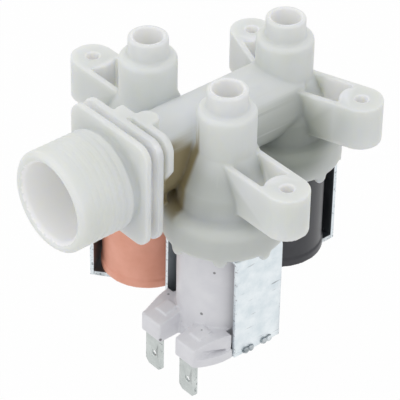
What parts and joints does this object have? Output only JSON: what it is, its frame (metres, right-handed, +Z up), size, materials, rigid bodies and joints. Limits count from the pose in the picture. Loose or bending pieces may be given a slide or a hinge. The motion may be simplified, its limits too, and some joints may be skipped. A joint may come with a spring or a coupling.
{
  "type": "washing machine inlet valve",
  "caption": "Triple solenoid water inlet valve: moulded body with threaded inlet, square panel flange, upright outlet nozzles, screw posts and hanging coils in steel yokes",
  "frame": {"origin": "centre of the inlet mouth, on the inlet's axis", "axes": "+X out of the inlet, +Z up along the outlet nozzles, +Y towards the white coil"},
  "size_m": [0.0913, 0.0852, 0.0818],
  "materials": {
    "nylon": "natural moulded nylon, slightly milky",
    "core_plastic": "moulded plastic",
    "rubber": "moulded rubber",
    "plunger_steel": "turned soft iron",
    "spring_steel": "stainless spring wire",
    "zinc_plate": "zinc-plated steel strip, lightly scratched",
    "blade_metal": "tinned terminal strip",
    "orange_coil": "overmoulded plastic, satin",
    "white_coil": "overmoulded plastic, satin",
    "black_coil": "overmoulded plastic, satin"
  },
  "bodies": {
    "root": {"valve_body": "nylon", "inlet_strainer": "core_plastic", "flow_washer": "rubber", "orange_guide_tube": "core_plastic", "orange_diaphragm": "rubber", "orange_plunger_spring": "spring_steel", "orange_yoke": "zinc_plate", "orange_yoke_plate": "zinc_plate", "orange_pole_bush": "zinc_plate", "orange_coil": "orange_coil", "orange_terminals": "blade_metal", "white_guide_tube": "core_plastic", "white_diaphragm": "rubber", "white_plunger_spring": "spring_steel", "white_yoke": "zinc_plate", "white_yoke_plate": "zinc_plate", "white_pole_bush": "zinc_plate", "white_coil": "white_coil", "white_terminals": "blade_metal", "black_guide_tube": "core_plastic", "black_diaphragm": "rubber", "black_plunger_spring": "spring_steel", "black_yoke": "zinc_plate", "black_yoke_plate": "zinc_plate", "black_pole_bush": "zinc_plate", "black_coil": "black_coil", "black_terminals": "blade_metal"},
    "orange_plunger_unit": {"orange_plunger": "plunger_steel", "orange_plunger_tip": "rubber"},
    "orange_core_unit": {"orange_diaphragm_core": "core_plastic"},
    "white_plunger_unit": {"white_plunger": "plunger_steel", "white_plunger_tip": "rubber"},
    "white_core_unit": {"white_diaphragm_core": "core_plastic"},
    "black_plunger_unit": {"black_plunger": "plunger_steel", "black_plunger_tip": "rubber"},
    "black_core_unit": {"black_diaphragm_core": "core_plastic"}
  },
  "joints": [
    {"name": "orange_plunger_slide", "type": "slide", "parent": "root", "child": "orange_plunger_unit", "axis": [0, 0, 1], "range_m": [-0.003, 0], "stiffness_N_per_m": 60, "springref_m": 0.01, "deforming": ["orange_plunger_spring"]},
    {"name": "orange_core_slide", "type": "slide", "parent": "root", "child": "orange_core_unit", "axis": [0, 0, 1], "range_m": [-0.0018, 0], "deforming": ["orange_diaphragm"]},
    {"name": "white_plunger_slide", "type": "slide", "parent": "root", "child": "white_plunger_unit", "axis": [0, 0, 1], "range_m": [-0.003, 0], "stiffness_N_per_m": 60, "springref_m": 0.01, "deforming": ["white_plunger_spring"]},
    {"name": "white_core_slide", "type": "slide", "parent": "root", "child": "white_core_unit", "axis": [0, 0, 1], "range_m": [-0.0018, 0], "deforming": ["white_diaphragm"]},
    {"name": "black_plunger_slide", "type": "slide", "parent": "root", "child": "black_plunger_unit", "axis": [0, 0, 1], "range_m": [-0.003, 0], "stiffness_N_per_m": 60, "springref_m": 0.01, "deforming": ["black_plunger_spring"]},
    {"name": "black_core_slide", "type": "slide", "parent": "root", "child": "black_core_unit", "axis": [0, 0, 1], "range_m": [-0.0018, 0], "deforming": ["black_diaphragm"]}
  ],
  "couplings": [
    {"joint": "orange_core_slide", "follows": "orange_plunger_slide", "ratio": 0.6},
    {"joint": "white_core_slide", "follows": "white_plunger_slide", "ratio": 0.6},
    {"joint": "black_core_slide", "follows": "black_plunger_slide", "ratio": 0.6}
  ]
}
